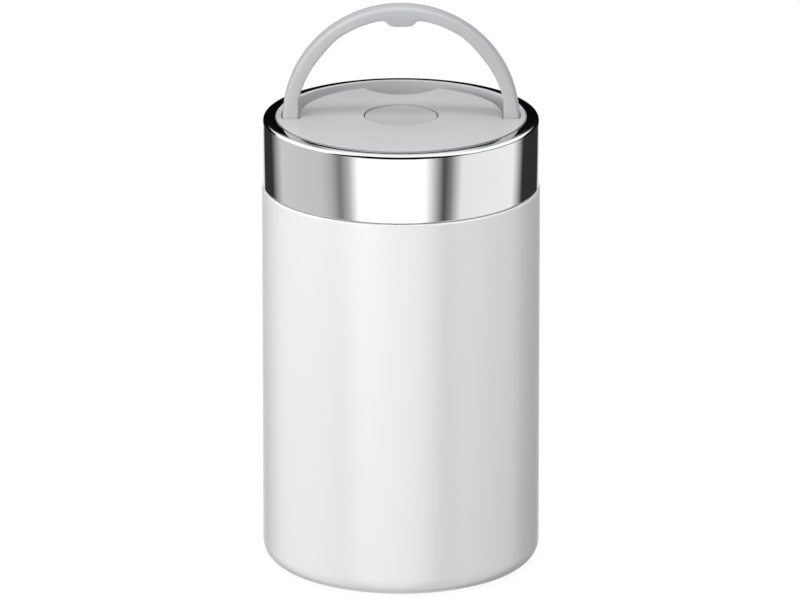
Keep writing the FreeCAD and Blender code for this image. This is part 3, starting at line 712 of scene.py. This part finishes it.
floorSheet.data.materials.append(floorLook)
floorSheet.visible_glossy = False
floorSheet.visible_diffuse = False

# Two soft lamps, which the gloss doesn't show
lamps = [
    dict(name="overhead", place=(0, -0.27, 1.37), aim=(0, 0, lidTop), width=1.3, depth=0.3,
         power=6.2),
    dict(name="left_front", place=(-1.25, -1.8, 0.45), aim=(0, 0, 0.1), width=1.4, depth=1.2,
         power=30),
]
for lamp in lamps:
    data = bpy.data.lights.new(lamp["name"], "AREA")
    data.shape = "RECTANGLE"
    data.size = lamp["width"]
    data.size_y = lamp["depth"]
    data.energy = lamp["power"]
    light = bpy.data.objects.new(lamp["name"], data)
    light.location = lamp["place"]
    way = Vector(lamp["aim"]) - Vector(lamp["place"])
    light.rotation_euler = way.to_track_quat("-Z", "Y").to_euler()
    light.visible_glossy = False
    scene.collection.objects.link(light)

# Surroundings: white to the camera, soft light on the object, light and dark strips in its gloss.
# Each stop starts with degrees round the jar from the viewer's side, positive to the right.
stripStops = [
    (-180, 225), (-166, 225), (-159, 45), (-136, 49), (-118, 196), (-70, 190), (-60, 167),
    (-52, 118), (-44, 172), (-36, 255), (20, 255), (30, 163), (36, 67), (42, 123), (52, 226),
    (107, 234), (122, 46), (159, 45), (166, 225), (180, 225),
]
# Height, as a sine, up to which the surroundings stay dark above the strips
darkTopStops = [
    (-180, 0.42), (-135, 0.42), (-120, -0.2), (-62, -0.2), (-50, 0.95), (38, 0.95), (60, 0.2),
    (112, 0.2), (135, 0.42), (180, 0.42),
]
ambientStops = [
    (-180, 208), (-110, 210), (-60, 168), (0, 165), (40, 172), (80, 208), (120, 220), (180, 208),
]
studio = dict(softEdge=0.06, dark=6, bright=252, glossStrength=1.18, below=0.6, above=1.4)


# The curve between a screen's greys, from 0 to 255, and linear values
curve = dict(most=255, straightBelow=11, slope=12.92, offset=0.055, power=2.4)


def screenGrey(level):
    shown = level / curve["most"]
    if level < curve["straightBelow"]:
        linear = shown / curve["slope"]
    else:
        linear = ((shown + curve["offset"]) / (1 + curve["offset"])) ** curve["power"]
    return (linear, linear, linear)


def plainGrey(value):
    return (value, value, value)


def aroundJar(stops, tone):
    return [((degrees + 180) / 360, tone(value)) for degrees, value in stops]


world = bpy.data.worlds.new("studio")
scene.world = world
world.use_nodes = True
sky = world.node_tree
sky.nodes.clear()
place = addNode(sky, "TexCoord").outputs["Generated"]
split = addNode(sky, "SeparateXYZ", {"Vector": place}).outputs
nearer = addNode(sky, "Math", {0: split["Y"], 1: -1}, operation="MULTIPLY")
bearing = addNode(sky, "Math", {0: split["X"], 1: nearer.outputs[0]}, operation="ARCTAN2")
around = mapRange(sky, bearing.outputs[0], -math.pi, math.pi)
strips = rampOf(sky, around, aroundJar(stripStops, screenGrey))
darkTop = rampOf(sky, around, aroundJar(darkTopStops, plainGrey))
pastDark = addNode(sky, "Math", {0: split["Z"], 1: darkTop}, operation="SUBTRACT")
brightness = mapRange(sky, pastDark.outputs[0], -studio["softEdge"], studio["softEdge"])
topStops = [(0, screenGrey(studio["dark"])), (1, screenGrey(studio["bright"]))]
topTones = rampOf(sky, brightness, topStops)
isUpper = addNode(sky, "Math", {0: split["Z"], 1: -studio["softEdge"]}, operation="GREATER_THAN")
gloss = addNode(sky, "MixRGB", {"Fac": isUpper.outputs[0], "Color1": strips, "Color2": topTones})
glossLight = addNode(sky, "Background",
                     {"Color": gloss.outputs["Color"], "Strength": studio["glossStrength"]})
ambient = rampOf(sky, around, aroundJar(ambientStops, screenGrey))
falloff = mapRange(sky, split["Z"], -1, 1, (studio["below"], studio["above"]))
softLight = addNode(sky, "Background", {"Color": ambient, "Strength": falloff})
seen = addNode(sky, "Background", {"Color": (1, 1, 1, 1)})
rays = addNode(sky, "LightPath").outputs
lit = addNode(sky, "MixShader",
              {"Fac": rays["Is Glossy Ray"], 1: softLight.outputs[0], 2: glossLight.outputs[0]})
wholeSky = addNode(sky, "MixShader",
                   {"Fac": rays["Is Camera Ray"], 1: lit.outputs[0], 2: seen.outputs[0]})
addNode(sky, "OutputWorld", {"Surface": wholeSky.outputs[0]})
print("light made")

# Camera far away, looking down a little
shot = dict(distance=4.0, pitch=math.radians(17.7), lens=489.2, sensor=36, clipEnd=50,
            aim=Vector((-0.37 * mm, 0, 98.7 * mm)))
camera = bpy.data.objects.new("camera", bpy.data.cameras.new("camera"))
camera.data.lens = shot["lens"]
camera.data.sensor_width = shot["sensor"]
camera.data.clip_end = shot["clipEnd"]
away = Vector((0, -math.cos(shot["pitch"]), math.sin(shot["pitch"])))
camera.location = shot["aim"] + shot["distance"] * away
camera.rotation_euler = (math.pi / 2 - shot["pitch"], 0, 0)
scene.collection.objects.link(camera)
scene.camera = camera
scene.view_settings.view_transform = "Standard"
